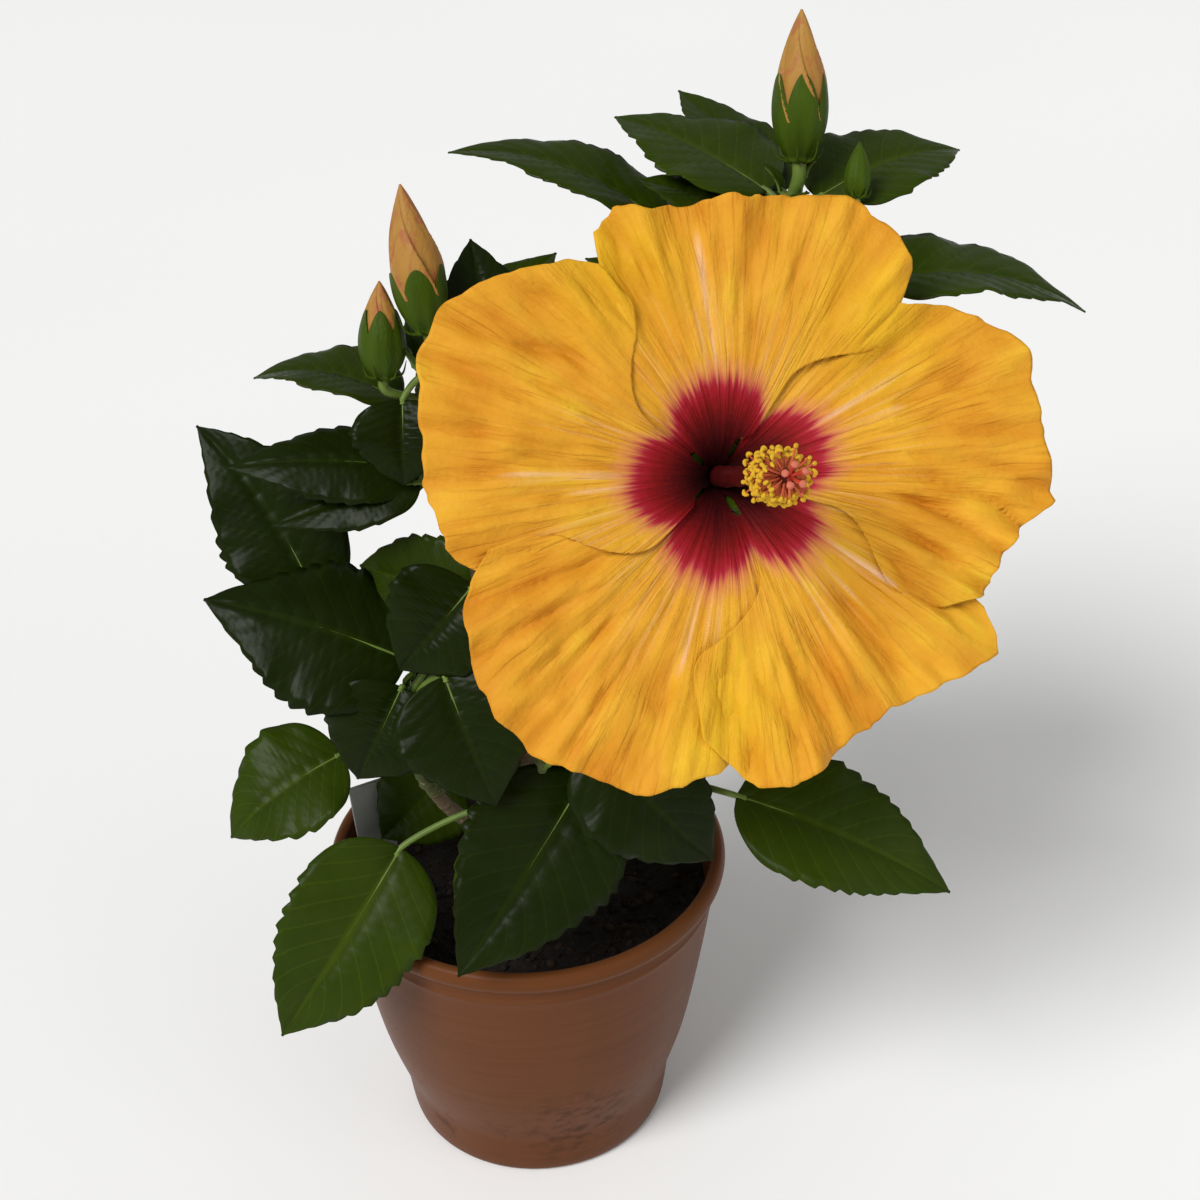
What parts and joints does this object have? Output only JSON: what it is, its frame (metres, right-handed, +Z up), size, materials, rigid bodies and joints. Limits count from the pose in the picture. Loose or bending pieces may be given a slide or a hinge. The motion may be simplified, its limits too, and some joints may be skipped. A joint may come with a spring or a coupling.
{
  "type": "potted hibiscus shrub",
  "caption": "Small flowering hibiscus in a round plastic pot, with a wide open bloom, buds and coarse toothed leaves on thin boughs.",
  "frame": {"origin": "centre of the pot's flat underside", "axes": "+Z up along the pot's axis; -Y is the side that the bloom faces; +X is to the right in that view"},
  "size_m": [0.2418, 0.2335, 0.3471],
  "materials": {
    "pot": "moulded, dull, lightly scuffed",
    "soil": "moist crumbly potting compost",
    "label": "plain thin strip, blank",
    "bark": "young grey-brown bark, greener on thin shoots",
    "leaves": "half glossy dark green blades with sunk veins",
    "petals": "silky, ribbed, golden yellow with a crimson eye",
    "stamens": "waxy red column with yellow anthers",
    "calyx": "smooth fresh green cup",
    "bud": "rolled petals, tan with pink streaks"
  },
  "bodies": {
    "root": {"pot": "pot", "soil": "soil", "plant_label": "label", "trunk": "bark", "bough_top": "bark", "bough_upper_left": "bark", "bough_left": "bark", "bough_lower_left": "bark", "bough_front": "bark", "bough_lower_right": "bark", "bough_right": "bark", "bough_back_left": "bark", "bough_back_right": "bark", "bough_bloom": "bark", "foliage_top": "leaves", "foliage_upper_left": "leaves", "foliage_left": "leaves", "foliage_lower_left": "leaves", "foliage_front": "leaves", "foliage_lower_right": "leaves", "foliage_right": "leaves", "foliage_back_left": "leaves", "foliage_back_right": "leaves", "petal_top": "petals", "petal_right": "petals", "petal_lower_right": "petals", "petal_lower_left": "petals", "petal_left": "petals", "staminal_column": "stamens", "bloom_calyx": "calyx", "bud_top": "bud", "bud_left": "bud", "bud_left_small": "bud", "bud_top_calyx": "calyx", "bud_left_calyx": "calyx", "bud_left_small_calyx": "calyx", "bud_top_small_calyx": "calyx"}
  },
  "joints": []
}
